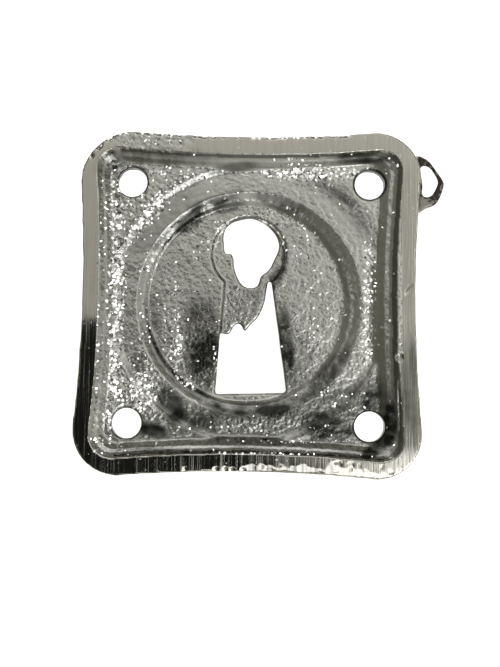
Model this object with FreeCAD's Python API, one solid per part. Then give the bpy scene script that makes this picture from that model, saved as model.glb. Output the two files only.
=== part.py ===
import FreeCAD, Part
import os
from math import cos, radians, sin, sqrt

# Keyhole escutcheon, one metal casting, in millimetres.
# The origin is the centre of the four screw holes, on the plane of the flat rim at the back.
# +Z leaves the back, +Y points to the round end of the keyhole, and the show face looks along -Z.
# The casting lies on its show face, so its hollow back is on top.

V = FreeCAD.Vector
EPS = 0.01                      # how far a cutter runs past the face it opens

# Plate: a square whose sides bow inwards and whose corners stand out as rounded ears
plate_width = 43.45             # waist to waist, along X
plate_height = 43.8             # waist to waist, along Y
plate_off_x = -0.06             # middle of the plate from the middle of the screw holes
plate_off_y = 0.01
side_bow_r = 180.0              # radius of each inward bow
corner_r = 6.0
filed_corner_r = 7.0            # the corner at -X and +Y, which was filed rounder
border_thick = 1.5              # thickness at the edge
side_draft = 0.2                # the rim plane is this much smaller all round than the show face
edge_round = 0.45               # roundness of the border's show edge

# Flat rim round the hollow, ground level after casting
rim_width = 2.45
mouth_corner_r = 2.9
mouth_off_x = -0.15             # the hollow's mouth isn't quite in the middle of the plate
mouth_off_y = -0.08

# Wall of the hollow: slope, narrow ledge, slope, down to the field that the screws go through
field_depth = 1.25
wall_run_x = 2.09               # plan width of the wall at the left and right, on average
wall_run_y = 1.65               # and at the top and bottom
field_off_x = -0.72             # the lower part of the hollow sits to the left: the core had shifted
field_off_y = 0.1
field_corner_r = 1.9
ledge_depth = 0.58
ledge_width = 0.3
ledge_fall = 0.06

# Round pan sunk in the field, which leaves a three-cornered land at each screw hole
pan_r = 18.3
pan_slope = 0.7
pan_fall = 0.32

# Ring: two more slopes with a ledge between them, down to the disc round the keyhole
ring_r = 14.8
ring_ledge_r = 13.9
ring_ledge_width = 0.3
ring_ledge_fall = 0.42
disc_r = 12.95
disc_fall = 0.9
disc_off_x = -0.5
disc_off_y = 0.15

# Show face: the same steps in relief, one wall thickness away
wall_thick = 1.2
tier_inset = 2.4                # border left round the square tier, at the waists
tier_slope = 0.8
tier_corner_r = 3.6
dome_slope = 0.35
boss_grow = 0.7                 # the boss is this much larger in radius than the ring it covers
relief_round = 0.2

# Screw holes
hole_spacing_x = 31.4
hole_spacing_y = 31.8
hole_r = 1.95

# Keyhole
key_circle_r = 4.92
key_circle_x = -0.2             # the neck is centred on the round end
key_circle_y = 6.7
key_neck_width = 6.2
key_foot_width = 9.4
key_foot_y = -11.85
key_lean = 0.52                 # the slot's foot is this far to the right of its neck
key_foot_tilt = 2.0             # degrees by which the foot line climbs to the right
key_foot_r = 0.35

# Skin of metal left across the keyhole when it was cast, torn open above and below
skin_thick = 0.4
skin_from_show_face = 0.25

# Loop of flash left on the edge beside one ear
flash_thick = 0.55
flash_depth = 0.75              # its back below the rim plane

# Corners of the plate, anticlockwise from the one at +X and +Y
plate_corner_rs = [corner_r, filed_corner_r, corner_r, corner_r]

# Levels worked out from the sizes above
field_z = -field_depth
pan_z = field_z - pan_fall
ring_ledge_z = pan_z - ring_ledge_fall
disc_z = pan_z - disc_fall
border_z = -border_thick
tier_z = field_z - wall_thick
dome_z = pan_z - wall_thick
boss_ledge_z = ring_ledge_z - wall_thick
face_z = disc_z - wall_thick

# Edges of the two tears in the skin as they are on this casting, from the middle of the round end
UPPER_TEAR = [
    (0.0, 4.84), (-1.6, 4.54), (-2.75, 3.9), (-3.2, 3.2), (-3.35, 2.2), (-3.25, 1.0), (-2.95, 0.0),
    (-2.45, 0.1), (-2.1, -0.3), (-1.9, -1.6), (-1.45, -3.0), (-0.6, -4.2), (0.2, -4.5), (1.3, -4.15),
    (1.6, -3.1), (2.6, -2.2), (3.3, -0.95), (4.05, 1.1), (3.75, 2.3), (2.65, 3.7), (1.4, 4.54),
]
LOWER_TEAR = [
    (-3.35, -10.65), (-2.2, -10.45), (-1.55, -9.45), (-1.05, -9.4), (-0.4, -10.3), (0.3, -9.55),
    (1.05, -8.8), (1.8, -7.6), (2.3, -6.1), (2.5, -4.6), (2.75, -3.5),
]

# Outer edge and gap of the flash, from where the lines of the right and top waists cross
FLASH_OUTSIDE = [
    (-0.8, -2.4), (0.6, -2.25), (1.65, -2.8), (2.9, -4.4), (3.75, -5.9), (3.4, -7.3),
    (2.4, -8.8), (1.25, -9.3), (0.5, -9.8), (-0.7, -9.6),
]
FLASH_GAP = [
    (1.15, -3.5), (1.75, -3.65), (2.5, -4.55), (2.95, -5.6), (2.55, -6.8), (1.95, -7.6),
    (1.1, -7.65), (0.95, -6.2),
]


def arc(start, middle, end):
    return Part.Arc(start, middle, end).toShape()


def bowed_square(half_x, half_y, off_x, off_y, bow_r, corner_rs, z):
    """Closed wire of four bowed sides and four round corners, all of them arcs that meet smoothly.

    The corners' radii run anticlockwise from the corner at +X and +Y.
    """
    centres = [
        V(off_x + half_x + bow_r, off_y, z),
        V(off_x, off_y + half_y + bow_r, z),
        V(off_x - half_x - bow_r, off_y, z),
        V(off_x, off_y - half_y - bow_r, z),
    ]
    corners = []
    for side in range(4):
        first, second = centres[side], centres[(side + 1) % 4]
        span = second - first
        inwards = V(-span.y, span.x, 0).normalize()
        reach = bow_r + corner_rs[side]
        corners.append(first + span / 2 + inwards * sqrt(reach**2 - (span.Length / 2) ** 2))
    edges = []
    for side in range(4):
        before, after = corners[side - 1], corners[side]
        following = centres[(side + 1) % 4]
        round_r = corner_rs[side]
        start = before + (centres[side] - before).normalize() * corner_rs[side - 1]
        end = after + (centres[side] - after).normalize() * round_r
        waist = centres[side] + ((start + end) / 2 - centres[side]).normalize() * bow_r
        turn_end = after + (following - after).normalize() * round_r
        turn_mid = after + ((end + turn_end) / 2 - after).normalize() * round_r
        edges.append(arc(start, waist, end))
        edges.append(arc(end, turn_mid, turn_end))
    return Part.Wire(edges)


def circle(radius, off_x, off_y, z):
    return Part.Wire([Part.makeCircle(radius, V(off_x, off_y, z))])


def stack(wires):
    """Solid with straight slopes from each level's wire to the next."""
    return Part.makeLoft(wires, True, True)


def prism(wire, low_z, high_z):
    solid = Part.Face(wire).extrude(V(0, 0, high_z - low_z))
    solid.translate(V(0, 0, low_z))
    return solid


def plate_level(inset, z):
    return bowed_square(
        plate_width / 2 - inset, plate_height / 2 - inset, plate_off_x, plate_off_y,
        side_bow_r + inset, [radius - inset for radius in plate_corner_rs], z,
    )


def level_edges(solid, z):
    """Edges of a solid that lie wholly in one level plane."""
    return [edge for edge in solid.Edges if all(abs(v.Z - z) < 1e-6 for v in edge.Vertexes)]


def softened(solid, z, radius):
    return solid.makeFillet(radius, level_edges(solid, z))


def border():
    blank = stack([plate_level(side_draft, 0), plate_level(0, border_z)])
    return softened(blank, border_z, edge_round)


def square_tier():
    half_x, half_y = plate_width / 2 - tier_inset, plate_height / 2 - tier_inset

    def level(inset, turn_r, z):
        return bowed_square(
            half_x - inset, half_y - inset, plate_off_x, plate_off_y, side_bow_r, [turn_r] * 4, z,
        )

    blank = stack([
        level(0, tier_corner_r, border_z + edge_round),
        level(0, tier_corner_r, border_z),
        level(tier_slope, tier_corner_r - tier_slope / 2, tier_z),
    ])
    return softened(blank, tier_z, relief_round)


def round_tiers():
    """The two round steps of the show face, turned as one body about the middle."""
    outline = [
        V(0, 0, border_z),
        V(pan_r, 0, border_z),
        V(pan_r, 0, tier_z),
        V(pan_r - dome_slope, 0, dome_z),
        V(ring_r + boss_grow, 0, dome_z),
        V(ring_ledge_r + boss_grow, 0, boss_ledge_z),
        V(ring_ledge_r + boss_grow - ring_ledge_width, 0, boss_ledge_z),
        V(disc_r + boss_grow, 0, face_z),
        V(0, 0, face_z),
    ]
    half = Part.Face(Part.makePolygon(outline + outline[:1]))
    turned = half.revolve(V(0, 0, 0), V(0, 0, 1), 360)
    return softened(turned, face_z, relief_round)


def hollow_level(share, z):
    """Wire of the hollow's wall, where share runs from 0 at the mouth to 1 at the field."""
    half_x = plate_width / 2 - rim_width - wall_run_x * share
    half_y = plate_height / 2 - rim_width - wall_run_y * share
    off_x = mouth_off_x + (field_off_x - mouth_off_x) * share
    off_y = mouth_off_y + (field_off_y - mouth_off_y) * share
    turn_r = mouth_corner_r + (field_corner_r - mouth_corner_r) * share
    return bowed_square(half_x, half_y, off_x, off_y, side_bow_r, [turn_r] * 4, z)


def ledge_shares():
    """Where the ledge of the wall starts and ends."""
    run = (wall_run_x + wall_run_y) / 2
    start = (run - ledge_width) / 2 / run
    return start, start + ledge_width / run


def lands():
    """What the round pan leaves standing in the hollow's corners, up to the field."""
    slope_per_mm = pan_slope / pan_fall
    pan = Part.makeCone(
        pan_r - pan_slope - EPS * slope_per_mm, pan_r + EPS * slope_per_mm,
        pan_fall + 2 * EPS, V(0, 0, pan_z - EPS),
    )
    slab = Part.makeBox(plate_width, plate_height, pan_fall + EPS, V(0, 0, pan_z - EPS))
    slab.translate(V(-plate_width / 2, -plate_height / 2, 0))
    return slab.cut(pan)


def square_hollow():
    """Hollow down to the pan. Where the pan would cross the wall, the wall's lower slope bounds it."""
    ledge_start, ledge_end = ledge_shares()
    share_per_mm = (1 - ledge_end) / (field_depth - ledge_depth - ledge_fall)
    hollow = stack([
        hollow_level(0, EPS),
        hollow_level(0, 0),
        hollow_level(ledge_start, -ledge_depth),
        hollow_level(ledge_end, -ledge_depth - ledge_fall),
        hollow_level(1 + pan_fall * share_per_mm, pan_z),
    ])
    return hollow.cut(lands())


def ring_hollow():
    part_way = (ring_r - ring_ledge_r) / (ring_r - disc_r)
    ledge_x, ledge_y = disc_off_x * part_way, disc_off_y * part_way
    return stack([
        circle(ring_r, 0, 0, pan_z + EPS),
        circle(ring_ledge_r, ledge_x, ledge_y, ring_ledge_z),
        circle(ring_ledge_r - ring_ledge_width, ledge_x, ledge_y, ring_ledge_z - ledge_fall),
        circle(disc_r, disc_off_x, disc_off_y, disc_z),
    ])


def keyhole(low_z, high_z):
    """Round end and flared slot, from one level to another."""
    neck_y = key_circle_y - sqrt(key_circle_r**2 - (key_neck_width / 2) ** 2)
    foot_x = key_circle_x + key_lean
    climb = key_foot_width / 2 * sin(radians(key_foot_tilt))
    half_foot = key_foot_width / 2 * cos(radians(key_foot_tilt))
    slot = Part.makePolygon([
        V(key_circle_x - key_neck_width / 2, neck_y, 0),
        V(foot_x - half_foot, key_foot_y - climb, 0),
        V(foot_x + half_foot, key_foot_y + climb, 0),
        V(key_circle_x + key_neck_width / 2, neck_y, 0),
        V(key_circle_x, key_circle_y, 0),
        V(key_circle_x - key_neck_width / 2, neck_y, 0),
    ])
    slot_solid = prism(slot, low_z, high_z)
    foot_edges = [
        edge for edge in slot_solid.Edges
        if all(v.Y < key_foot_y + 2 * climb for v in edge.Vertexes)
        and abs(edge.Vertexes[0].Z - edge.Vertexes[1].Z) > 1e-6
    ]
    slot_solid = slot_solid.makeFillet(key_foot_r, foot_edges)
    return slot_solid.fuse(prism(circle(key_circle_r, key_circle_x, key_circle_y, 0), low_z, high_z))


def smooth_edge(points, off_x, off_y, closed):
    curve = Part.BSplineCurve()
    curve.interpolate([V(x + off_x, y + off_y, 0) for x, y in points], PeriodicFlag=closed)
    return curve.toShape()


def torn_windows(low_z, high_z):
    """The two openings torn in the skin. The lower one also takes the rest of the slot below it."""
    upper = prism(Part.Wire([smooth_edge(UPPER_TEAR, key_circle_x, key_circle_y, True)]), low_z, high_z)
    tear = smooth_edge(LOWER_TEAR, key_circle_x, key_circle_y, False)
    start, end = tear.Vertexes[0].Point, tear.Vertexes[-1].Point
    side, below = key_foot_width, key_foot_y - key_foot_width
    beyond = Part.makePolygon([end, V(side, end.y, 0), V(side, below, 0), V(-side, below, 0),
                               V(-side, start.y, 0), start])
    lower = prism(Part.Wire([tear] + beyond.Edges), low_z, high_z)
    slot = keyhole(low_z - EPS, high_z + EPS)
    return [upper.common(slot), lower.common(slot)]


def flash_loop():
    off_x, off_y = plate_off_x + plate_width / 2, plate_off_y + plate_height / 2
    low_z, high_z = -flash_depth - flash_thick, -flash_depth
    edge = smooth_edge(FLASH_OUTSIDE, off_x, off_y, False)
    root = Part.makePolygon([edge.Vertexes[-1].Point, edge.Vertexes[0].Point])
    gap = Part.Wire([smooth_edge(FLASH_GAP, off_x, off_y, True)])
    outside = prism(Part.Wire([edge] + root.Edges), low_z, high_z)
    return outside.cut(prism(gap, low_z - EPS, high_z + EPS))


def screw_holes():
    half_x, half_y = hole_spacing_x / 2, hole_spacing_y / 2
    deep = face_z - EPS
    return [
        Part.makeCylinder(hole_r, -deep + EPS, V(x, y, deep))
        for x in (-half_x, half_x)
        for y in (-half_y, half_y)
    ]


def escutcheon():
    body = border().fuse([square_tier(), round_tiers(), flash_loop()])
    body = body.cut([square_hollow(), ring_hollow()] + screw_holes())
    skin_low = face_z + skin_from_show_face
    skin_high = skin_low + skin_thick
    body = body.cut([keyhole(face_z - EPS, skin_low), keyhole(skin_high, EPS)])
    body = body.cut(torn_windows(skin_low - EPS, skin_high + EPS))
    return body.removeSplitter()


os.makedirs("parts", exist_ok=True)
casting = escutcheon()
casting.exportStep("parts/escutcheon.step")
box = casting.optimalBoundingBox()
print("solids", len(casting.Solids), "valid", casting.isValid())
print("volume mm3", round(casting.Volume, 1))
print("box", [round(value, 3) for value in (box.XMin, box.YMin, box.ZMin, box.XMax, box.YMax, box.ZMax)])
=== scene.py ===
import logging
import math
import random
from dataclasses import dataclass, field
from enum import Enum
from functools import cached_property

import bmesh
import bpy
from mathutils import Matrix, Vector, noise

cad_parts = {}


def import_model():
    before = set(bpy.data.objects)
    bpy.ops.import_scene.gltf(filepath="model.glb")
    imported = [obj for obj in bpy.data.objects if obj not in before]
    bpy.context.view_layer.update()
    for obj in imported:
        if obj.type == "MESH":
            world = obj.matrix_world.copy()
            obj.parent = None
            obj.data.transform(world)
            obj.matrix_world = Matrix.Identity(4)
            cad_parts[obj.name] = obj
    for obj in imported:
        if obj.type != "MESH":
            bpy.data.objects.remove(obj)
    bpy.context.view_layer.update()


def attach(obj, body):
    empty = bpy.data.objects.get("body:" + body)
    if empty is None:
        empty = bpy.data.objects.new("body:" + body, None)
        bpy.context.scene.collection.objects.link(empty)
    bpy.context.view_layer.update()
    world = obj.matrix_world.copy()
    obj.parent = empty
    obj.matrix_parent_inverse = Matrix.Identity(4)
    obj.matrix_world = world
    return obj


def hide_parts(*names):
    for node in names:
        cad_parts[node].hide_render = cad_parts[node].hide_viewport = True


# Keyhole escutcheon, a white metal casting, lying on its show face with its hollow back up.
# Lengths in the classes are millimetres in the row frame, and MM brings them to metres.

MM = 0.001
FIRST, SECOND, MIXED = 6, 7, 2      # a Mix node's two colours and its result, by number
log = logging.getLogger("keyhole_escutcheon")


class Finish(Enum):
    """Material slots of the casting, in the order of its mesh's slots."""

    AS_CAST = 0
    GROUND = 1
    FLASH = 2


def linear(hex_colour: str) -> tuple[float, float, float, float]:
    """Turn an sRGB hex colour into the linear values that a shader takes.

    Args:
        hex_colour: a colour such as "#A3A297".

    Returns:
        Red, green, blue and an alpha of 1.
    """
    channels = []
    for start in (1, 3, 5):
        value = int(hex_colour[start:start + 2], 16) / 255
        channels.append(value / 12.92 if value <= 0.04045 else ((value + 0.055) / 1.055) ** 2.4)
    return (*channels, 1.0)


def add_node(tree: bpy.types.NodeTree, kind: str, inputs: dict | None = None, **settings) -> bpy.types.Node:
    """Add a node with its settings, and its inputs as values or links.

    Args:
        tree: the node tree to add to.
        kind: the node's type name.
        inputs: socket name or number against a value, or against the output socket to link.
        settings: attributes of the node.

    Returns:
        The new node.
    """
    node = tree.nodes.new(kind)
    for name, value in settings.items():
        setattr(node, name, value)
    for key, value in (inputs or {}).items():
        if isinstance(value, bpy.types.NodeSocket):
            tree.links.new(value, node.inputs[key])
        else:
            node.inputs[key].default_value = value
    return node


def smooth_step(low: float, high: float, value: float) -> float:
    """Rise smoothly from 0 at low to 1 at high.

    Args:
        low: where the rise starts.
        high: where it ends. It may be below low, for a fall.
        value: where to read it.

    Returns:
        A share from 0 to 1.
    """
    share = min(max((value - low) / (high - low), 0.0), 1.0)
    return share * share * (3 - 2 * share)


def per_metre(size_mm: float) -> float:
    """Scale of a pattern on Object coordinates whose features are size_mm wide."""
    return 1 / (size_mm * MM)


def new_material(name: str) -> tuple[bpy.types.Material, bpy.types.NodeTree]:
    """Make an empty node material.

    Args:
        name: the material's name.

    Returns:
        The material and its node tree.
    """
    material = bpy.data.materials.new(name)
    material.use_nodes = True
    material.node_tree.nodes.clear()
    return material, material.node_tree


@dataclass(frozen=True)
class AsCastZincAlloy:
    """Zinc alloy as it left the mould: mottled, darker where the painted shade and tarnish lie, with small
    bright facets.
    """

    name: str = "as_cast_zinc_alloy"
    bright: str = "#DEDED8"
    # the colour that the painted shade and tarnish darken towards
    dull: str = "#3A3B38"
    roughness: float = 0.26
    grain_mm: float = 0.5
    swell_mm: float = 1.2
    grain_depth_mm: float = 0.12
    swell_depth_mm: float = 0.09
    facet_mm: float = 0.46          # from one small facet to the next: the eye sees them as white specks
    facet_edge: tuple[float, float] = (0.2, 0.38)   # of that distance, where a facet is whole and gone
    facet_size: tuple[float, float] = (0.4, 0.8)    # least size of a facet, and how much larger some are
    facet_merge: float = 0.55       # how much larger they are where every one shows: they run together
    facet_bend_mm: float = 0.4      # how far their outlines wander
    facet_lean: tuple[float, float] = (0.25, -0.27)     # how far they turn to the window between +X and -Y
    facet_turn: float = 5.5         # and how much less for each metre towards it
    facet_spread: float = 0.32      # by which single facets differ from that
    facet_roughness: float = 0.12
    facet_dullness: float = 0.8     # of the dullest facets
    swell_detail: float = 1.0
    swell_roughness: float = 0.4
    grain_smoothness: float = 0.6

    def material(self) -> bpy.types.Material:
        """Build the material from the painted shade and tarnish, grain and glint attributes.

        Returns:
            The finished material.
        """
        material, tree = new_material(self.name)
        place = add_node(tree, "ShaderNodeTexCoord").outputs["Object"]
        shade_and_tarnish = add_node(tree, "ShaderNodeAttribute", attribute_name="shade_and_tarnish").outputs["Fac"]
        rough = add_node(tree, "ShaderNodeAttribute", attribute_name="grain").outputs["Fac"]
        glint = add_node(tree, "ShaderNodeAttribute", attribute_name="glint").outputs["Fac"]
        bend = add_node(tree, "ShaderNodeTexNoise", {
            "Vector": place, "Scale": per_metre(self.swell_mm / 2), "Detail": 0.0,
        }).outputs["Color"]
        bent = add_node(tree, "ShaderNodeVectorMath", {
            0: bend, 1: (self.facet_bend_mm * MM,) * 3, 2: place,
        }, operation="MULTIPLY_ADD").outputs["Vector"]
        cells = add_node(tree, "ShaderNodeTexVoronoi", {
            "Vector": bent, "Scale": per_metre(self.facet_mm),
        }, voronoi_dimensions="2D").outputs
        chance = add_node(tree, "ShaderNodeSeparateXYZ", {"Vector": cells["Color"]}).outputs
        chosen = add_node(tree, "ShaderNodeMath", {
            0: chance["X"], 1: glint,
        }, operation="LESS_THAN").outputs[0]
        least, more = self.facet_size
        spaced = add_node(tree, "ShaderNodeMath", {
            0: chance["Z"], 1: more, 2: least,
        }, operation="MULTIPLY_ADD").outputs[0]
        size = add_node(tree, "ShaderNodeMath", {
            0: glint, 1: self.facet_merge, 2: spaced,
        }, operation="MULTIPLY_ADD").outputs[0]
        reach = add_node(tree, "ShaderNodeMath", {
            0: cells["Distance"], 1: size,
        }, operation="DIVIDE").outputs[0]
        whole, gone = self.facet_edge
        disc = add_node(tree, "ShaderNodeMapRange", {
            "Value": reach, "From Min": whole, "From Max": gone, "To Min": 1.0, "To Max": 0.0,
        }, interpolation_type="SMOOTHSTEP").outputs["Result"]
        facet = add_node(tree, "ShaderNodeMath", {0: chosen, 1: disc}, operation="MULTIPLY").outputs[0]
        spot = add_node(tree, "ShaderNodeSeparateXYZ", {"Vector": place}).outputs
        leans = []
        for axis, odd, lean in zip("XY", "YZ", self.facet_lean):
            steady = add_node(tree, "ShaderNodeMath", {
                0: spot[axis], 1: -self.facet_turn, 2: lean - self.facet_spread / 2,
            }, operation="MULTIPLY_ADD").outputs[0]
            leans.append(add_node(tree, "ShaderNodeMath", {
                0: chance[odd], 1: self.facet_spread, 2: steady,
            }, operation="MULTIPLY_ADD").outputs[0])
        lean_x, lean_y = leans
        turn = add_node(tree, "ShaderNodeCombineXYZ", {
            "X": lean_x, "Y": lean_y, "Z": 1.0,
        }).outputs["Vector"]
        swell = add_node(tree, "ShaderNodeTexNoise", {
            "Vector": place, "Scale": per_metre(self.swell_mm),
            "Detail": self.swell_detail, "Roughness": self.swell_roughness,
        }).outputs["Fac"]
        grain = add_node(tree, "ShaderNodeTexVoronoi", {
            "Vector": bent, "Scale": per_metre(self.grain_mm), "Smoothness": self.grain_smoothness,
        }, feature="SMOOTH_F1").outputs["Distance"]
        swollen = add_node(tree, "ShaderNodeBump", {
            "Strength": rough, "Distance": self.swell_depth_mm * MM, "Height": swell,
        }).outputs["Normal"]
        grained = add_node(tree, "ShaderNodeBump", {
            "Strength": rough, "Distance": self.grain_depth_mm * MM, "Height": grain, "Normal": swollen,
        }).outputs["Normal"]
        mixed = add_node(tree, "ShaderNodeMix", {
            0: facet, 4: grained, 5: turn,
        }, data_type="VECTOR").outputs[1]
        normal = add_node(tree, "ShaderNodeVectorMath", {0: mixed}, operation="NORMALIZE").outputs["Vector"]
        plain = add_node(tree, "ShaderNodeMath", {0: 1.0, 1: facet}, operation="SUBTRACT").outputs[0]
        # painted shade and tarnish, left off the facets
        shade_off_facets = add_node(tree, "ShaderNodeMath", {0: shade_and_tarnish, 1: plain}, operation="MULTIPLY").outputs[0]
        dimmed = add_node(tree, "ShaderNodeMath", {
            0: chance["Y"], 1: self.facet_dullness,
        }, operation="MULTIPLY").outputs[0]
        dullness_and_shade = add_node(tree, "ShaderNodeMath", {
            0: dimmed, 1: facet, 2: shade_off_facets,
        }, operation="MULTIPLY_ADD").outputs[0]
        colour = add_node(tree, "ShaderNodeMix", {
            0: dullness_and_shade, FIRST: linear(self.bright), SECOND: linear(self.dull),
        }, data_type="RGBA").outputs[MIXED]
        roughness = add_node(tree, "ShaderNodeMath", {
            0: facet, 1: self.facet_roughness - self.roughness, 2: self.roughness,
        }, operation="MULTIPLY_ADD").outputs[0]
        shader = add_node(tree, "ShaderNodeBsdfPrincipled", {
            "Base Color": colour, "Metallic": 1.0, "Roughness": roughness, "Normal": normal,
        })
        add_node(tree, "ShaderNodeOutputMaterial", {"Surface": shader.outputs["BSDF"]})
        return material


@dataclass(frozen=True)
class BeltGroundZincAlloy:
    """The same alloy ground flat on a belt: a mirror across its lines, which run along Y."""

    name: str = "belt_ground_zinc_alloy"
    colour: str = "#CFCDC3"
    roughness: tuple[float, float] = (0.04, 0.32)   # between the lines and in the deepest
    line_width_mm: float = 0.14     # real lines are finer, but these are wide enough for the render
    line_length_mm: float = 14.0
    line_depth_mm: float = 0.008
    worn: str = "#73736F"           # where the belt ran light and the lines stay dull, and where painted shade reaches the rim
    streak_width_mm: float = 0.55
    streak_length_mm: float = 9.0
    lines_deep: tuple[float, float] = (0.5, 0.75)   # readings of the lines from even to deepest
    streaks_worn: tuple[float, float] = (0.35, 0.65)
    detail: float = 2.0
    detail_roughness: float = 0.6

    def material(self) -> bpy.types.Material:
        """Build the material with its belt lines as a bump.

        Returns:
            The finished material.
        """
        material, tree = new_material(self.name)
        place = add_node(tree, "ShaderNodeTexCoord").outputs["Object"]
        stretched = add_node(tree, "ShaderNodeMapping", {
            "Vector": place,
            "Scale": (per_metre(self.line_width_mm), per_metre(self.line_length_mm), 0.0),
        }).outputs["Vector"]
        lines = add_node(tree, "ShaderNodeTexNoise", {
            "Vector": stretched, "Scale": 1.0, "Detail": self.detail, "Roughness": self.detail_roughness,
        }).outputs["Fac"]
        bump = add_node(tree, "ShaderNodeBump", {
            "Strength": 1.0, "Distance": self.line_depth_mm * MM, "Height": lines,
        }).outputs["Normal"]
        low, high = self.roughness
        even, deepest = self.lines_deep
        roughness = add_node(tree, "ShaderNodeMapRange", {
            "Value": lines, "From Min": even, "From Max": deepest, "To Min": low, "To Max": high,
        }).outputs["Result"]
        drawn = add_node(tree, "ShaderNodeMapping", {
            "Vector": place,
            "Scale": (per_metre(self.streak_width_mm), per_metre(self.streak_length_mm), 0.0),
        }).outputs["Vector"]
        streaks = add_node(tree, "ShaderNodeTexNoise", {
            "Vector": drawn, "Scale": 1.0, "Detail": self.detail, "Roughness": self.detail_roughness,
        }).outputs["Fac"]
        clean, dull = self.streaks_worn
        spread = add_node(tree, "ShaderNodeMapRange", {
            "Value": streaks, "From Min": clean, "From Max": dull,
        }).outputs["Result"]
        shade_and_tarnish = add_node(tree, "ShaderNodeAttribute", attribute_name="shade_and_tarnish").outputs["Fac"]
        # belt streaks, darkened by the painted shade and tarnish
        wear_and_shade = add_node(tree, "ShaderNodeMath", {0: spread, 1: shade_and_tarnish}, operation="MULTIPLY").outputs[0]
        colour = add_node(tree, "ShaderNodeMix", {
            0: wear_and_shade, FIRST: linear(self.colour), SECOND: linear(self.worn),
        }, data_type="RGBA").outputs[MIXED]
        shader = add_node(tree, "ShaderNodeBsdfPrincipled", {
            "Base Color": colour, "Metallic": 1.0, "Roughness": roughness, "Normal": bump,
        })
        add_node(tree, "ShaderNodeOutputMaterial", {"Surface": shader.outputs["BSDF"]})
        return material


@dataclass(frozen=True)
class OxidisedFlash:
    """Thin flash that oxidised as it cooled: brown, with flecks where the white metal shows."""

    name: str = "oxidised_flash"
    brown: str = "#46362A"
    dark: str = "#1E1713"
    metal: str = "#A6A298"
    patch_mm: float = 0.9
    fleck_mm: float = 0.5
    grain_depth_mm: float = 0.05
    patch_detail: float = 3.0
    fleck_detail: float = 1.0
    bare_from: float = 0.6          # readings of the flecks from oxide to bare metal
    bare_to: float = 0.72
    roughness: float = 0.42

    def material(self) -> bpy.types.Material:
        """Build the material from patches of oxide and flecks of metal.

        Returns:
            The finished material.
        """
        material, tree = new_material(self.name)
        place = add_node(tree, "ShaderNodeTexCoord").outputs["Object"]
        patches = add_node(tree, "ShaderNodeTexNoise", {
            "Vector": place, "Scale": per_metre(self.patch_mm), "Detail": self.patch_detail,
        }).outputs["Fac"]
        flecks = add_node(tree, "ShaderNodeTexNoise", {
            "Vector": place, "Scale": per_metre(self.fleck_mm), "Detail": self.fleck_detail,
        }).outputs["Fac"]
        glint = add_node(tree, "ShaderNodeAttribute", attribute_name="glint").outputs["Fac"]
        worn = add_node(tree, "ShaderNodeMath", {0: flecks, 1: glint}, operation="ADD").outputs[0]
        bare = add_node(tree, "ShaderNodeMapRange", {
            "Value": worn, "From Min": self.bare_from, "From Max": self.bare_to,
        }).outputs["Result"]
        oxide = add_node(tree, "ShaderNodeMix", {
            0: patches, FIRST: linear(self.dark), SECOND: linear(self.brown),
        }, data_type="RGBA").outputs[MIXED]
        colour = add_node(tree, "ShaderNodeMix", {
            0: bare, FIRST: oxide, SECOND: linear(self.metal),
        }, data_type="RGBA").outputs[MIXED]
        bump = add_node(tree, "ShaderNodeBump", {
            "Strength": 1.0, "Distance": self.grain_depth_mm * MM, "Height": patches,
        }).outputs["Normal"]
        shader = add_node(tree, "ShaderNodeBsdfPrincipled", {
            "Base Color": colour, "Metallic": bare, "Roughness": self.roughness, "Normal": bump,
        })
        add_node(tree, "ShaderNodeOutputMaterial", {"Surface": shader.outputs["BSDF"]})
        return material


PATCH_CORE = 0.45                   # out to this share of its size, a patch has its full amount


@dataclass(frozen=True)
class Patch:
    """Soft-edged oval on the casting, seen from above."""

    x: float
    y: float
    half_length: float
    half_width: float
    turn: float                     # degrees from +X to its long side
    amount: float

    def share(self, x: float, y: float) -> float:
        """Amount of the patch at a point.

        Args:
            x: place along X.
            y: place along Y.

        Returns:
            The patch's amount in its middle, falling to 0 at its edge.
        """
        angle = math.radians(self.turn)
        along = (x - self.x) * math.cos(angle) + (y - self.y) * math.sin(angle)
        across = (y - self.y) * math.cos(angle) - (x - self.x) * math.sin(angle)
        distance = math.hypot(along / self.half_length, across / self.half_width)
        return self.amount * smooth_step(1.0, PATCH_CORE, distance)


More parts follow.
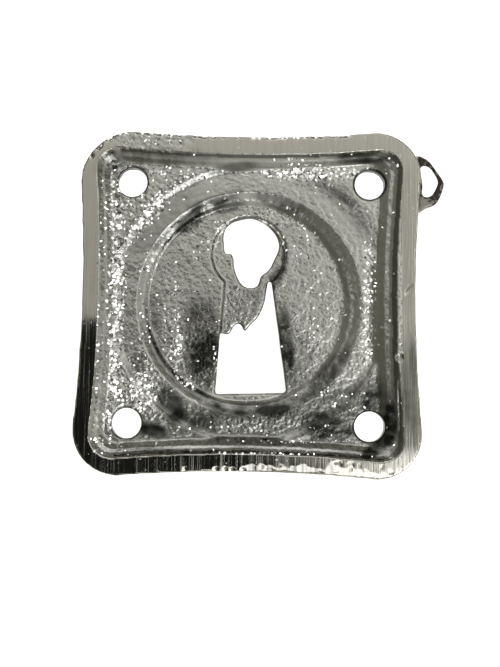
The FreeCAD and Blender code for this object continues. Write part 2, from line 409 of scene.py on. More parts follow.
@dataclass
class Casting:
    """The escutcheon: one casting, dressed with its grain, wear, faults and painted shade."""

    node: str = "escutcheon"
    weld: float = 1e-4              # corners of the CAD node closer than this are one
    voxel: float = 0.175
    rim_snap: float = 0.07          # what lies this near the rim's plane and faces up is ground flat
    flat_normal: float = 0.85
    flash_from: tuple[float, float, float] = (21.95, 12.0, 19.9)
    grain_size: float = 0.75
    grain_depth: float = 0.035
    wall_depth: float = 0.014
    floor_slope: tuple[float, float] = (0.8, 0.97)  # upward share of the normal, from wall to floor
    below_rim: float = -1e-4        # the cast skin stays under the ground plane by this
    wave_size: float = 2.6          # slow waves in the cast walls and floors
    wave_depth: float = 0.045
    show_face_z: float = -3.67
    waist_y: float = 21.87          # the rim's outer edge at mid-side, and the radius of its bow
    side_bow_r: float = 180.0
    worn_z: float = -0.5            # the rim's wear is above this and outside worn_reach
    worn_reach: float = 18.5
    roll_width: tuple[float, float] = (1.05, 2.0)   # of the foot's edge that the belt rolled down
    roll_wider: tuple[float, float] = (5.0, 11.0)
    roll_depth: float = 0.1
    roll_from: tuple[float, float] = (-1.0, 1.0)
    scallop_size: float = 0.8
    scallop: float = 0.7            # share by which the roll's inner edge wanders
    ease_from: float = 16.9
    ease_to: float = 20.2
    ease_z: tuple[float, float] = (-1.65, -1.15)
    ease_level: float = -1.57       # where the run-out starts
    ease_rise: float = 0.32
    ease_in: tuple[float, float] = (12.0, 24.0)     # degrees from +X
    ease_out: tuple[float, float] = (96.0, 76.0)
    nick_seed: int = 5
    nick_count: int = 36
    corner_nick_count: int = 14
    nick_glint: float = 1.6
    # how dark the nicks are made
    nick_darkening: float = 0.7
    nick_width: float = 0.3
    nick_inset: float = 0.22        # from the rim's outer edge
    nick_span: tuple[float, float] = (-15.0, 13.0)
    nick_length: tuple[float, float] = (0.25, 0.7)
    nick_depth: tuple[float, float] = (0.06, 0.13)
    corner_nick_span: tuple[float, float] = (100.0, 150.0)  # degrees from +X
    corner_nick_length: tuple[float, float] = (0.25, 0.5)
    corner_nick_depth: tuple[float, float] = (0.03, 0.06)
    nick_reach: float = 19.0        # the nicks lie past this
    nick_edge: float = 0.02         # deeper than this, a nick isn't ground
    filed_corner: tuple[float, float, float] = (-14.9, 15.4, 7.05)  # middle and radius, at -X and +Y
    nicks: list[Patch] = field(default_factory=lambda: [
        Patch(20.6, 1.7, 1.15, 0.22, 56, 0.06),
        Patch(19.3, -7.0, 0.8, 0.5, 95, 0.14),
        Patch(19.35, -12.8, 4.6, 0.22, 91, 0.09),
    ] + [
        Patch(x, -21.55, 0.36, 0.36, 0, 0.08) for x in (-7.8, -3.9, -2.75, -1.9, -0.4)
    ])
    unground_depth: float = 0.05
    unground: list[Patch] = field(default_factory=lambda: [
        Patch(-13.2, 21.6, 6.4, 2.4, -4, 0.05),
    ])
    unground_grain: float = 0.5
    unground_wander: float = 0.8
    ground_share: float = 0.3       # where the unground patch is weaker than this, the belt reached
    ground_wander: float = 0.5
    ground_normal: float = 0.6
    ground_depth: float = -0.22
    rim_inside: float = 19.6
    show_face_share: float = 0.5    # triangles kept on the show face, which rests on the table
    show_face_normal: float = -0.75
    kept_rings: int = 2             # faces next to a wall or a hole that keep their size
    floor_grain: float = 0.42
    wall_grain: float = 0.06
    lit_wall_grain: float = 0.6     # the walls that face +X and +Y are rougher
    lit_wall: tuple[float, float] = (0.1, 0.3)
    lit_wall_mottle: float = 0.35
    lit_floor: tuple[float, float] = (0.9, 0.8)     # upward share of the normal, from floor to wall
    mottle_size: float = 0.5
    mottle_gain: float = 2.0
    streak_x: float = 1.6           # size of the streaks in the painted shade and tarnish
    streak_y: float = 0.8
    streak_low: float = 0.6         # and their weakest and how much stronger they get
    streak_more: float = 0.8
    lip_shade: float = 0.7        # painted shade round the holes, and along the hollow's mouth
    mouth: tuple[float, float, float, float] = (-0.35, -0.02, 17.0, 20.6)
    mouth_normal: float = 0.93
    plain_lip: Patch = Patch(-3.6, -1.4, 4.8, 1.5, 90, 0.9)     # where the skin runs on from the disc
    bore_normal: float = 0.35       # walls steeper than this are those of the holes
    # painted shade on the holes' walls
    bore_shade: float = 0.95
    bore_reach: float = 18.5
    hole_r: float = 1.95
    hole_shade_width: tuple[float, float] = (0.42, 0.2)    # width of the painted shade ring round each screw hole, from its end to its whole
    hole_shade_rings: tuple[tuple[float, float, float], ...] = (
        (-15.7, 15.9, 0.6), (15.7, 15.9, 0.95), (-15.7, -15.9, 0.6), (15.7, -15.9, 0.95),
    )
    even_tarnish: float = 0.1
    clean_normal: float = -0.5      # the show face is clean below this
    show_face_grain: float = 0.1
    least_grain: float = 0.03
    floor_normal: tuple[float, float] = (0.9, 0.985)
    glint_normal: tuple[float, float] = (0.4, 0.5)
    grain: list[Patch] = field(default_factory=lambda: [
        Patch(-15.5, 14.5, 5.5, 5.0, 45, 0.35),
        Patch(-17.8, -2.0, 14.0, 1.1, 90, 0.4),
        Patch(8.5, 17.3, 10.0, 1.2, 0, 0.35),
        Patch(15.7, -1.0, 11.0, 1.2, 90, 0.35),
        Patch(-13.5, -11.0, 6.5, 4.5, -40, 0.4),
        Patch(4.0, -15.6, 9.0, 2.0, 0, 0.3),
        Patch(-9.7, -5.5, 6.0, 1.8, 90, 0.3),
        Patch(3.5, 11.6, 6.0, 1.3, -15, 0.3),
        Patch(-9.5, 11.5, 9.5, 3.2, 45, -0.4),
        Patch(12.5, 12.0, 6.5, 2.0, -45, -0.25),
        Patch(-12.5, -3.5, 5.0, 1.5, 90, -0.15),
        Patch(0.0, -17.6, 14.0, 1.0, 0, -0.3),
        Patch(-13.6, 11.6, 9.5, 1.3, 50, 0.4),
        Patch(-9.0, 15.6, 3.8, 1.2, 28, 0.5),
        Patch(-7.5, 11.0, 4.0, 1.4, 40, 0.6),
        Patch(-6.0, -5.5, 6.5, 2.6, 94, 0.5),
        Patch(-9.9, -13.0, 3.0, 1.9, -50, -0.5),
        Patch(-12.2, -16.6, 2.8, 1.3, -12, -0.4),
        Patch(-1.5, 0.0, 8.0, 2.6, 80, 0.3),
    ])
    even_glint: float = 0.03
    glint: list[Patch] = field(default_factory=lambda: [
        Patch(-17.4, 0.5, 17.0, 1.4, 90, 1.3),
        Patch(-19.2, 0.0, 20.0, 1.0, 90, 0.4),
        Patch(-18.1, 13.0, 6.5, 0.8, 90, 0.9),
        Patch(12.5, -14.5, 5.5, 3.5, 30, 0.12),
        Patch(-19.0, -18.6, 1.6, 1.2, -45, 0.7),
        Patch(-17.3, -13.0, 6.0, 1.6, 82, 0.8),
        Patch(-15.0, 14.0, 6.0, 4.5, 45, 0.35),
        Patch(-13.4, 11.4, 9.0, 1.2, 50, 0.8),
        Patch(8.5, 17.4, 10.5, 1.2, 0, 0.9),
        Patch(-9.0, 17.1, 5.5, 1.1, -6, 0.55),
        Patch(6.0, 19.0, 4.0, 0.9, 0, 0.35),
        Patch(15.7, 1.0, 11.0, 1.3, 90, 0.6),
        Patch(-13.6, -11.8, 3.6, 2.4, -75, 0.9),
        Patch(-15.8, -14.5, 4.5, 2.6, 70, 0.55),
        Patch(-14.0, -6.5, 4.5, 1.8, 90, 0.25),
        Patch(0.0, -16.2, 11.0, 1.0, 0, 0.25),
        Patch(-10.4, -2.0, 8.5, 2.2, 95, 0.35),
        Patch(-9.1, -5.3, 2.2, 0.7, 80, 0.9),
        Patch(-13.9, -1.0, 9.0, 1.2, 90, 0.3),
        Patch(-4.35, -7.5, 3.4, 0.35, 94, 0.9),
        Patch(-5.5, 8.5, 4.5, 2.2, 50, 0.35),
        Patch(5.8, 9.0, 5.0, 2.4, -50, 0.2),
        Patch(-8.2, -10.6, 3.3, 0.8, -44, 0.8),
        Patch(1.5, -19.4, 8.5, 0.35, 0, 0.6),
        Patch(4.0, -17.9, 13.0, 0.35, 1, 0.4),
        Patch(19.3, 18.2, 1.1, 0.6, -60, 0.7),
        Patch(-19.5, -5.5, 0.7, 0.4, 90, 2.0),
        Patch(-20.0, -10.8, 0.9, 0.4, 94, 2.0),
        Patch(-20.3, -13.2, 0.5, 0.4, 94, 2.0),
        Patch(-20.3, -15.0, 0.6, 0.4, 94, 2.0),
        Patch(9.0, -1.0, 9.0, 2.2, 90, 0.1),
        Patch(10.3, -12.2, 3.0, 1.2, -50, 0.3),
        Patch(-16.0, -19.2, 2.5, 0.8, -25, 0.6),
        Patch(-13.0, 21.7, 5.0, 1.6, -4, 0.4),
        Patch(22.4, 13.2, 1.6, 1.2, 20, 0.38),
        Patch(22.4, 19.6, 0.8, 0.5, -30, 0.3),
    ])
    # Painted shade and tarnish, each patch darkening the skin by its amount. Most are painted shade on the
    # ring's slopes, the walls, the keyhole's collar, the hollow's corners and the pan's edges, and painted
    # dark reflection on the disc beside the slot.
    shade_and_tarnish: list[Patch] = field(default_factory=lambda: [
        # painted dark reflection on the disc left of the slot
        Patch(-6.0, -4.4, 7.2, 3.7, 96, 0.56),
        Patch(-5.6, -7.8, 5.0, 3.4, 92, 0.42),
        # painted shade over the bright pan edge at -X +Y
        Patch(-13.6, 11.6, 9.5, 1.2, 50, 0.12),
        Patch(-9.0, 15.6, 3.6, 1.1, 28, 0.3),
        Patch(-0.8, 0.0, 7.0, 3.4, 80, 0.22),
        # painted shade on the keyhole's collar
        Patch(3.3, 3.2, 2.8, 1.2, 62, 0.6),
        Patch(4.6, 6.6, 3.2, 0.6, 90, 0.6),
        # painted shade on the ring's slopes at -X -Y
        Patch(-12.3, -5.9, 3.2, 0.9, -64, 0.5),
        Patch(-5.9, -12.3, 3.4, 0.9, -26, 0.5),
        # painted shade on the wall and rim at +X below the middle, and in the corner at +X -Y
        Patch(20.9, -10.5, 9.0, 1.9, 91, 0.6),
        Patch(20.3, -19.5, 3.2, 2.0, 60, 0.5),
        Patch(5.0, -21.2, 9.0, 1.2, 0, 0.6),
        # painted shade on the ring's slopes and on the pan's edge above them
        Patch(-9.6, 10.1, 6.0, 1.1, 45, 0.4),
        Patch(-4.6, 13.7, 5.0, 0.9, 20, 0.45),
        Patch(-2.2, 17.9, 4.6, 0.8, 8, 0.5),
        Patch(-9.6, -9.6, 3.4, 0.9, -45, 0.55),
        # painted dark reflection on the disc right of the slot
        Patch(4.9, -5.0, 6.5, 1.3, 96, 0.7),
        Patch(6.8, -7.5, 4.5, 2.2, 80, 0.3),
        # painted dark reflection in the pan at -X -Y
        Patch(-10.2, -13.2, 3.6, 2.3, -55, 0.6),
        Patch(-12.2, -16.7, 2.8, 1.3, -12, 0.75),
        Patch(-7.0, -15.5, 4.5, 1.8, -8, 0.3),
        # painted shade on the pan's edge at +X +Y
        Patch(11.8, 14.4, 3.6, 0.8, -33, 0.4),
        # dark spots, and painted shade on the ring's slope at +X +Y
        Patch(-7.8, 10.9, 3.2, 1.3, 41, 0.75),
        Patch(-3.2, 13.0, 3.4, 1.2, 12, 0.55),
        Patch(4.0, 13.4, 5.0, 1.2, -18, 0.4),
        Patch(-18.1, 17.8, 0.5, 0.5, 0, 0.9),
        # painted shade over the highlight in the hollow's corner at -X +Y
        Patch(-18.7, 18.9, 1.5, 1.0, 45, 0.3),
        Patch(-18.5, 18.4, 3.4, 1.9, 45, 0.35),
        # painted shade on the top wall
        Patch(14.8, 19.3, 5.0, 1.0, 0, 0.7),
        Patch(-10.5, 19.2, 9.0, 1.3, 0, 0.3),
        Patch(13.0, -14.0, 8.0, 4.5, 25, 0.6),
        Patch(7.5, -12.3, 7.0, 3.0, 36, 0.16),
        Patch(13.0, -17.4, 5.0, 1.4, 0, 0.25),
        Patch(16.0, -12.5, 5.0, 1.5, 82, 0.3),
        Patch(1.0, -16.0, 14.0, 3.6, 0, 0.4),
        Patch(-12.0, 10.5, 8.0, 3.2, 45, 0.2),
        Patch(-12.8, -1.5, 3.5, 1.5, 80, 0.3),
        Patch(-14.6, -8.4, 2.4, 1.4, 60, 0.4),
        # painted shade on the wall and in the corner at +X -Y
        Patch(18.3, -15.5, 3.6, 1.2, 88, 0.8),
        Patch(16.5, -18.6, 3.2, 1.1, 35, 0.7),
        # painted shade over the bright line along the hollow's bottom edge
        Patch(-12.0, -19.4, 6.5, 0.8, 0, 0.5),
        Patch(14.0, -19.4, 5.0, 0.8, 0, 0.4),
        # painted shade on the ring's slopes at -Y and at +X -Y
        Patch(0.0, -14.0, 9.0, 1.5, 0, 0.35),
        Patch(4.5, -13.2, 5.0, 1.2, 18, 0.35),
        Patch(10.4, -9.2, 6.5, 1.6, 50, 0.5),
        # below 0, painted highlight: lighter along the bright strips of glints
        Patch(-17.7, -2.0, 15.0, 1.0, 90, -0.25),
        Patch(8.5, 17.3, 10.0, 1.1, 0, -0.25),
        Patch(15.7, 1.0, 11.0, 1.4, 90, -0.3),
        Patch(-14.0, -11.5, 4.5, 3.0, -60, -0.2),
    ])

    def build(self) -> bpy.types.Object:
        """Make the dressed casting around its CAD node.

        Returns:
            The finished piece, riding on the root body.
        """
        source = bpy.data.objects[self.node]
        blank = self.remeshed(source)
        shape = bmesh.new()
        shape.from_mesh(blank)
        shape.normal_update()
        self.level_rim(shape)
        self.ease_pan_edge(shape)
        self.wear_rim(shape)
        shape.normal_update()
        self.roughen(shape)
        mesh = bpy.data.meshes.new("escutcheon_casting")
        shape.to_mesh(mesh)
        shape.free()
        bpy.data.meshes.remove(blank)
        mesh = self.thinned(mesh)
        self.mark(mesh)
        self.dress(mesh)
        mesh.transform(Matrix.Scale(MM, 4))
        piece = bpy.data.objects.new("escutcheon_casting", mesh)
        bpy.context.scene.collection.objects.link(piece)
        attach(piece, "root")
        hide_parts(self.node)
        log.info("casting: %d faces", len(mesh.polygons))
        return piece

    def remeshed(self, source: bpy.types.Object) -> bpy.types.Mesh:
        """Copy the CAD node in millimetres with an even skin of small faces.

        Args:
            source: the CAD node's object.

        Returns:
            The new mesh.
        """
        shape = bmesh.new()
        shape.from_mesh(source.data)
        shape.transform(Matrix.Scale(1 / MM, 4))
        bmesh.ops.remove_doubles(shape, verts=shape.verts[:], dist=self.weld)
        mesh = bpy.data.meshes.new("blank")
        shape.to_mesh(mesh)
        shape.free()
        holder = bpy.data.objects.new("blank", mesh)
        bpy.context.scene.collection.objects.link(holder)
        skin = holder.modifiers.new("skin", "REMESH")
        skin.mode = "VOXEL"
        skin.voxel_size = self.voxel
        return self.applied(holder)

    def applied(self, holder: bpy.types.Object) -> bpy.types.Mesh:
        """Read an object's mesh with its modifiers applied, and remove the object.

        Args:
            holder: the object to read.

        Returns:
            The mesh with its modifiers applied.
        """
        old = holder.data
        graph = bpy.context.evaluated_depsgraph_get()
        result = bpy.data.meshes.new_from_object(holder.evaluated_get(graph))
        bpy.data.objects.remove(holder)
        bpy.data.meshes.remove(old)
        return result

    def level_rim(self, shape: bmesh.types.BMesh) -> None:
        """Smooth the steps that the even skin leaves, and lay the ground rim exactly on its plane.

        Args:
            shape: the casting, in millimetres.
        """
        bmesh.ops.smooth_vert(
            shape, verts=shape.verts[:], factor=0.5, use_axis_x=True, use_axis_y=True, use_axis_z=True,
        )
        shape.normal_update()
        for vert in shape.verts:
            if vert.co.z > -self.rim_snap and vert.normal.z > self.flat_normal:
                vert.co.z = 0.0

    def wear_rim(self, shape: bmesh.types.BMesh) -> None:
        """Roll the rim's edge down at the foot, leave its low patches unground, and nick it.

        Args:
            shape: the casting, in millimetres.
        """
        nicks = self.nicks + self.edge_nicks
        for vert in shape.verts:
            x, y, z = vert.co
            if z < self.worn_z or max(abs(x), abs(y)) < self.worn_reach:
                continue
            foot = -self.waist_y - x * x / (2 * self.side_bow_r)
            narrow, wide = self.roll_width
            width = narrow + (wide - narrow) * smooth_step(*self.roll_wider, x)
            width *= 1 + self.scallop * noise.noise(Vector((x / self.scallop_size, 0.0, 0.0)))
            roll = max(1 - (y - foot) / width, 0.0) ** 2 * smooth_step(*self.roll_from, x)
            drop = self.roll_depth * roll + sum(nick.share(x, y) for nick in nicks)
            low = sum(patch.share(x, y) for patch in self.unground)
            if low > 0:
                drop += low * (1 + self.unground_wander * noise.noise(vert.co / self.unground_grain))
            vert.co.z = z - max(drop, 0.0)

    @cached_property
    def edge_nicks(self) -> list[Patch]:
        """Scatter small nicks along the rim's top edge and round its filed corner.

        Returns:
            One patch for each nick, with its depth as the amount.
        """
        draw = random.Random(self.nick_seed)
        nicks = []
        for _ in range(self.nick_count):
            x = draw.uniform(*self.nick_span)
            y = self.waist_y + x * x / (2 * self.side_bow_r) - self.nick_inset
            length = draw.uniform(*self.nick_length)
            nicks.append(Patch(x, y, length, self.nick_width, 0, draw.uniform(*self.nick_depth)))
        corner_x, corner_y, corner_r = self.filed_corner
        for _ in range(self.corner_nick_count):
            turn = draw.uniform(*self.corner_nick_span)
            x = corner_x + corner_r * math.cos(math.radians(turn))
            y = corner_y + corner_r * math.sin(math.radians(turn))
            length = draw.uniform(*self.corner_nick_length)
            depth = draw.uniform(*self.corner_nick_depth)
            nicks.append(Patch(x, y, length, self.nick_width, turn - 90, depth))
        return nicks

    def ease_pan_edge(self, shape: bmesh.types.BMesh) -> None:
        """Run the pan's edge out where the casting has hardly any, in its +X+Y corner.

        Args:
            shape: the casting, in millimetres.
        """
        lowest, highest = self.ease_z
        for vert in shape.verts:
            x, y, z = vert.co
            radius = math.hypot(x, y)
            if not (self.ease_from < radius < self.ease_to and lowest < z < highest):
                continue
            turn = math.degrees(math.atan2(y, x))
            share = smooth_step(*self.ease_in, turn) * smooth_step(*self.ease_out, turn)
            wide = self.ease_level + self.ease_rise * smooth_step(self.ease_from, self.ease_to, radius)
            vert.co.z = z + (wide - z) * share

    def roughen(self, shape: bmesh.types.BMesh) -> None:
        """Move the cast skin in and out by its grain.

        Args:
            shape: the casting, in millimetres.
        """
        moves = []
        for vert in shape.verts:
            if vert.co.z > self.below_rim:
                continue
            floor = smooth_step(*self.floor_slope, vert.normal.z)
            depth = self.wall_depth + (self.grain_depth - self.wall_depth) * floor
            grain = noise.noise(vert.co / self.grain_size) * depth
            wave = noise.noise(vert.co / self.wave_size) * self.wave_depth
            moves.append((vert, vert.normal * (grain + wave)))
        for vert, move in moves:
            vert.co += move
            vert.co.z = max(min(vert.co.z, self.below_rim), self.show_face_z)

    def thinned(self, mesh: bpy.types.Mesh) -> bpy.types.Mesh:
        """Give the show face fewer faces, since its skin is smooth.

        Args:
            mesh: the casting with an even skin.

        Returns:
            The mesh with its show face thinned.
        """
        holder = bpy.data.objects.new("thinned", mesh)
        bpy.context.scene.collection.objects.link(holder)
        group = holder.vertex_groups.new(name="show_face")
        walls = {v.index for v in mesh.vertices if v.normal.z > self.show_face_normal}
        for _ in range(self.kept_rings):
            near = [edge.vertices for edge in mesh.edges if not walls.isdisjoint(edge.vertices)]
            walls |= {end for ends in near for end in ends}
        group.add([v.index for v in mesh.vertices if v.index not in walls], 1.0, "REPLACE")
        thin = holder.modifiers.new("thin", "DECIMATE")
        thin.vertex_group = group.name
        thin.ratio = self.show_face_share
        result = self.applied(holder)
        for vert in result.vertices:
            vert.co.z = max(vert.co.z, self.show_face_z)
        return result

    def mark(self, mesh: bpy.types.Mesh) -> None:
        """Write the painted shade and tarnish, and how grainy the skin is, at each vertex.

        Args:
            mesh: the casting, in millimetres.
        """
        shade_and_tarnish = mesh.attributes.new("shade_and_tarnish", "FLOAT", "POINT")
        grain = mesh.attributes.new("grain", "FLOAT", "POINT")
        glint = mesh.attributes.new("glint", "FLOAT", "POINT")
        bores = {
            v.index for v in mesh.vertices
            if v.normal.z < self.bore_normal and max(abs(v.co.x), abs(v.co.y)) < self.bore_reach
        }
        lips = {end for edge in mesh.edges if not bores.isdisjoint(edge.vertices) for end in edge.vertices}
        low, high, inside, outside = self.mouth
        ring_end, ring_whole = (self.hole_r + width for width in self.hole_shade_width)
        for index, vert in enumerate(mesh.vertices):
            x, y, z = vert.co
            up = vert.normal.z
            streaks = 0.5 + 0.5 * noise.noise(Vector((x / self.streak_x, y / self.streak_y, z)))
            streaks = self.streak_low + self.streak_more * streaks
            # even tone, plus painted shade and tarnish from the patches, in streaks
            dark = self.even_tarnish + sum(patch.share(x, y) for patch in self.shade_and_tarnish) * streaks
            # painted shade at the screw holes' edges
            for hole_x, hole_y, hole_shade in self.hole_shade_rings:
                ring = math.hypot(x - hole_x, y - hole_y)
                dark = max(dark, hole_shade * smooth_step(ring_end, ring_whole, ring))
            # painted shade along the holes' lips and the hollow's mouth
            at_mouth = low < z < high and inside < max(abs(x), abs(y)) < outside and x > -inside
            if index in lips or (at_mouth and up < self.mouth_normal):
                dark = max(dark, self.lip_shade * (1 - self.plain_lip.share(x, y)))
            lit = smooth_step(*self.lit_wall, max(vert.normal.x, vert.normal.y))
            lit *= smooth_step(*self.lit_floor, up)
            mottle = abs(noise.noise(vert.co / self.mottle_size))
            dark += self.lit_wall_mottle * lit * mottle * self.mottle_gain
            # painted shade on the walls of the holes
            if index in bores:
                dark = self.bore_shade * (1 - self.plain_lip.share(x, y))
            if up < self.clean_normal:
                dark = 0.0
            shade_and_tarnish.data[index].value = min(max(dark, 0.0), 1.0)
            level = self.floor_grain + sum(patch.share(x, y) for patch in self.grain)
            wall = self.wall_grain + (self.lit_wall_grain - self.wall_grain) * lit
            level = wall + (level - wall) * smooth_step(*self.floor_normal, up)
            level = min(max(level, self.least_grain), 1.0)
            grain.data[index].value = level if up > 0 else self.show_face_grain
            spark = self.even_glint + sum(patch.share(x, y) for patch in self.glint)
            # nicks are made dark, with their facets bright
            if self.nicked(x, y, z):
                spark = self.nick_glint
                shade_and_tarnish.data[index].value = self.nick_darkening
            glint.data[index].value = spark * smooth_step(*self.glint_normal, up)

    def nicked(self, x: float, y: float, z: float) -> bool:
        """Whether a point on the rim lies in one of its edge's nicks."""
        on_edge = z > self.ground_depth and max(abs(x), abs(y)) > self.nick_reach
        return on_edge and any(nick.share(x, y) > self.nick_edge for nick in self.edge_nicks)

    def dress(self, mesh: bpy.types.Mesh) -> None:
        """Give each face its finish.

        Args:
            mesh: the casting, in millimetres.
        """
        for finish in (AsCastZincAlloy(), BeltGroundZincAlloy(), OxidisedFlash()):
            mesh.materials.append(finish.material())
        flash_x, flash_low, flash_high = self.flash_from
        for face in mesh.polygons:
            x, y, z = face.center
            chosen = Finish.AS_CAST
            flat = z > self.ground_depth and face.normal.z > self.ground_normal
            on_rim = flat and max(abs(x), abs(y)) > self.rim_inside
            rough = sum(patch.share(x, y) for patch in self.unground) / self.unground_depth
            wander = self.ground_wander * noise.noise(face.center / self.unground_grain)
            if on_rim and rough < self.ground_share + wander and not self.nicked(x, y, z):
                chosen = Finish.GROUND
            elif x > flash_x and flash_low < y < flash_high:
                chosen = Finish.FLASH
            face.material_index = chosen.value
            face.use_smooth = True


@dataclass(frozen=True)
class SkyLayer:
    """Part of the sky, laid over the layers before it where all its bands overlap.

    A band is a reading of the ray, where it is 0 and where it is 1. x, y and z are the ray's parts,
    and lean_x and lean_y are how far it leans from straight up.
    """

    name: str
    colour: str
    strength: float = 1.0
    bands: tuple[tuple[str, float, float], ...] = ()

    def glow(self) -> tuple[float, float, float, float]:
        """Colour of the layer as a light, times its strength."""
        red, green, blue, alpha = linear(self.colour)
        return red * self.strength, green * self.strength, blue * self.strength, alpha


@dataclass(frozen=True)
class Lamp:
    """Round lamp aimed at the casting, placed by its heading from +X and its tilt from straight up."""

    name: str
    heading: float                  # degrees
    tilt: float                     # degrees
    brightness: float               # of its face, where 1 shows as white
    distance: float = 500.0
    radius: float = 38.0

    def build(self) -> bpy.types.Object:
        """Make the lamp.

        Returns:
            The lamp's object.
        """
        heading, tilt = math.radians(self.heading), math.radians(self.tilt)
        out = math.sin(tilt)
        way = Vector((out * math.cos(heading), out * math.sin(heading), math.cos(tilt)))
        data = bpy.data.lights.new(self.name, "AREA")
        data.shape = "DISK"
        data.size = 2 * self.radius * MM
        data.energy = self.brightness * math.pi * math.pi * (self.radius * MM) ** 2
        lamp = bpy.data.objects.new(self.name, data)
        lamp.location = way * self.distance * MM
        lamp.rotation_euler = way.to_track_quat("Z", "Y").to_euler()
        bpy.context.scene.collection.objects.link(lamp)
        return lamp


@dataclass
class Studio:
    """White table, a soft sky with flags round it, and the camera over the casting."""

    table_half: float = 1500.0
    table_z: float = -3.67
    table_colour: str = "#F4F4F4"
    table_glow: float = 0.82        # what the camera sees of the table besides the light that falls on it
    aim: tuple[float, float, float] = (0.178, -4.155, 0.0)
    distance: float = 90.0
    tilt: float = 4.447             # degrees that the camera stands off the vertical, to the slot's foot
    side_tilt: float = 0.563        # and towards +X
    roll: float = 0.804             # degrees
    focal_px: float = 701.1
    frame_long_px: float = 667.0
    sensor: float = 36.0
    layers: tuple[SkyLayer, ...] = (
        SkyLayer("flagged sides", "#5E5D52"),
        SkyLayer("open side at +X", "#BABAB4", 1.0, (("x", 0.15, 0.5), ("y", -0.85, -0.6))),
        SkyLayer("open side at +Y", "#74736A", 1.0, (("y", 0.0, 0.4),)),
        SkyLayer("dim opening past the foot", "#A9A9A0", 1.0, (
            ("y", -0.84, -0.88), ("x", -0.14, -0.06), ("x", 0.2, 0.12),
        )),
        SkyLayer("round", "#BDBDB7", 1.0, (("z", 0.82, 0.92),)),
        SkyLayer("overhead", "#B7B6B0", 1.0, (
            ("lean_x", -0.4, -0.28), ("lean_x", 0.4, 0.28), ("lean_y", 0.58, 0.44),
        )),
        SkyLayer("overhead at +Y", "#CFCEC9", 1.0, (
            ("lean_y", 0.28, 0.4), ("lean_y", 0.7, 0.5), ("lean_x", -0.36, -0.26),
        )),
        SkyLayer("bright side at +X", "#F0F0EC", 1.2, (
            ("lean_x", 0.24, 0.32), ("lean_x", 0.54, 0.44), ("lean_y", -0.25, -0.15), ("lean_y", 0.5, 0.4),
        )),
        SkyLayer("dim screen at the right", "#9A9A93", 1.0, (
            ("lean_x", 0.1, 0.17), ("lean_y", 0.09, 0.04), ("lean_y", -0.2, -0.14),
        )),
        SkyLayer("flag at the camera", "#1C1D1C", 1.0, (
            ("lean_x", 0.12, 0.03), ("lean_x", -0.5, -0.38),
            ("lean_y", 0.0985, 0.094), ("lean_y", -0.5, -0.38),
        )),
        SkyLayer("window at the corner", "#FFFFFF", 1.9, (
            ("lean_x", 0.17, 0.2), ("lean_x", 0.5, 0.4),
            ("lean_y", -0.078, -0.096), ("lean_y", -0.54, -0.48),
        )),
        SkyLayer("window at the foot", "#FFFFFF", 1.9, (
            ("lean_x", -0.1, -0.04), ("lean_x", 0.4, 0.3),
            ("lean_y", -0.13, -0.16), ("lean_y", -0.4, -0.34),
        )),
        SkyLayer("window between +X and -Y", "#FFFFFF", 2.2, (
            ("lean_x", 0.28, 0.36), ("lean_x", 0.74, 0.64),
            ("lean_y", -0.72, -0.62), ("lean_y", -0.22, -0.3),
        )),
        SkyLayer("window at +Y", "#FFFFFF", 1.4, (
            ("lean_y", 0.62, 0.7), ("lean_y", 1.0, 0.9), ("lean_x", -0.5, -0.4), ("lean_x", 0.5, 0.4),
        )),
    )
    lamps: tuple[Lamp, ...] = (
        Lamp("lamp_right_front", -45, 34, 8.0),
        Lamp("lamp_right_low", -35, 52, 7.0),
    )

    def build(self) -> None:
        """Make the table, the sky, the lamps and the camera."""
        self.table()
        self.sky()
        for lamp in self.lamps:
            lamp.build()
        self.camera()
        bpy.context.scene.view_settings.view_transform = "Standard"

    def table(self) -> None:
        """Make the white table that the casting lies on."""
        shape = bmesh.new()
        bmesh.ops.create_grid(shape, x_segments=1, y_segments=1, size=self.table_half * MM)
        bmesh.ops.translate(shape, verts=shape.verts[:], vec=(0, 0, self.table_z * MM))
        mesh = bpy.data.meshes.new("table")
        shape.to_mesh(mesh)
        shape.free()
        material, tree = new_material("white_table")
        path = add_node(tree, "ShaderNodeLightPath").outputs
        camera_or_glossy = add_node(tree, "ShaderNodeMath", {
            0: path["Is Camera Ray"], 1: path["Is Glossy Ray"],
        }, operation="MAXIMUM").outputs["Value"]
        seen = add_node(tree, "ShaderNodeMath", {
            0: camera_or_glossy, 1: path["Is Transmission Ray"],
        }, operation="MAXIMUM").outputs["Value"]
        strength = add_node(tree, "ShaderNodeMath", {0: seen, 1: self.table_glow}, operation="MULTIPLY")
        glow = add_node(tree, "ShaderNodeEmission", {"Strength": strength.outputs["Value"]})
        paint = add_node(tree, "ShaderNodeBsdfDiffuse", {"Color": linear(self.table_colour)})
        both = add_node(tree, "ShaderNodeAddShader", {
            0: glow.outputs["Emission"], 1: paint.outputs["BSDF"],
        })
        add_node(tree, "ShaderNodeOutputMaterial", {"Surface": both.outputs["Shader"]})
        mesh.materials.append(material)
        piece = bpy.data.objects.new("table", mesh)
        bpy.context.scene.collection.objects.link(piece)

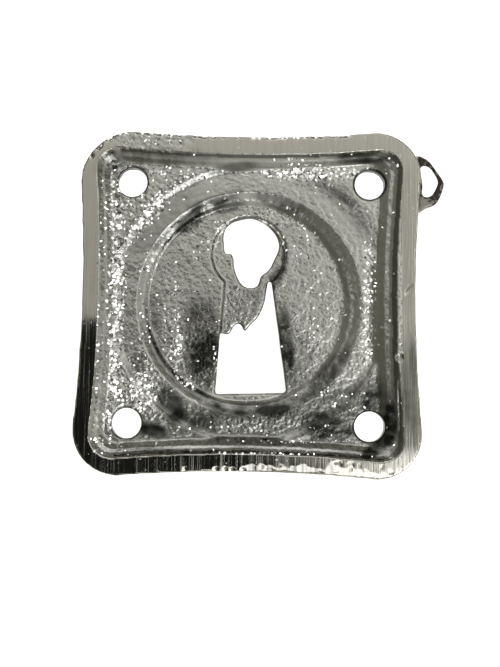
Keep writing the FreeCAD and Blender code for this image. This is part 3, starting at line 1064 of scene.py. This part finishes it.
    def sky(self) -> None:
        """Make the soft sky as layers of brightness, each over the last, by the way a ray looks."""
        world = bpy.data.worlds.new("studio_sky")
        world.use_nodes = True
        bpy.context.scene.world = world
        tree = world.node_tree
        tree.nodes.clear()
        way = add_node(tree, "ShaderNodeTexCoord").outputs["Generated"]
        parts = add_node(tree, "ShaderNodeSeparateXYZ", {"Vector": way}).outputs
        height = add_node(tree, "ShaderNodeMath", {0: parts["Z"], 1: 0.05}, operation="MAXIMUM").outputs[0]
        lean_x = add_node(tree, "ShaderNodeMath", {0: parts["X"], 1: height}, operation="DIVIDE").outputs[0]
        lean_y = add_node(tree, "ShaderNodeMath", {0: parts["Y"], 1: height}, operation="DIVIDE").outputs[0]
        readings = {"x": parts["X"], "y": parts["Y"], "z": parts["Z"], "lean_x": lean_x, "lean_y": lean_y}
        colour = self.layers[0].glow()
        for layer in self.layers[1:]:
            share = 1.0
            for reading, start, end in layer.bands:
                rising = start < end
                band = add_node(tree, "ShaderNodeMapRange", {
                    "Value": readings[reading], "From Min": min(start, end), "From Max": max(start, end),
                    "To Min": 0.0 if rising else 1.0, "To Max": 1.0 if rising else 0.0,
                }, interpolation_type="SMOOTHSTEP").outputs["Result"]
                share = add_node(tree, "ShaderNodeMath", {
                    0: share, 1: band,
                }, operation="MULTIPLY").outputs[0]
            colour = add_node(tree, "ShaderNodeMix", {
                0: share, FIRST: colour, SECOND: layer.glow(),
            }, data_type="RGBA", clamp_result=False).outputs[MIXED]
        seen = add_node(tree, "ShaderNodeLightPath").outputs["Is Camera Ray"]
        colour = add_node(tree, "ShaderNodeMix", {
            0: seen, FIRST: colour, SECOND: (1.0, 1.0, 1.0, 1.0),
        }, data_type="RGBA", clamp_result=False).outputs[MIXED]
        background = add_node(tree, "ShaderNodeBackground", {"Color": colour, "Strength": 1.0})
        add_node(tree, "ShaderNodeOutputWorld", {"Surface": background.outputs["Background"]})

    def camera(self) -> None:
        """Set the camera over the casting, as high and as far off the vertical as the photograph's."""
        data = bpy.data.cameras.new("camera")
        data.sensor_width = self.sensor
        data.lens = self.focal_px / self.frame_long_px * self.sensor
        data.clip_start = 0.005
        data.clip_end = 10.0
        camera = bpy.data.objects.new("camera", data)
        bpy.context.scene.collection.objects.link(camera)
        roll = math.radians(self.roll)
        back = Vector((math.sin(math.radians(self.side_tilt)), -math.sin(math.radians(self.tilt)), 0.0))
        back.z = math.sqrt(1 - back.length_squared)
        up = Vector((-math.sin(roll), math.cos(roll), 0.0))
        up = (up - back * up.dot(back)).normalized()
        right = up.cross(back)
        spot = (Vector(self.aim) + back * self.distance) * MM
        camera.matrix_world = Matrix((
            (right.x, up.x, back.x, spot.x),
            (right.y, up.y, back.y, spot.y),
            (right.z, up.z, back.z, spot.z),
            (0.0, 0.0, 0.0, 1.0),
        ))
        bpy.context.scene.camera = camera


def main() -> None:
    """Build the casting and the studio."""
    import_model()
    Casting().build()
    Studio().build()
    log.info("sizes written")


if __name__ == "__main__":
    logging.basicConfig(level=logging.INFO)
    main()
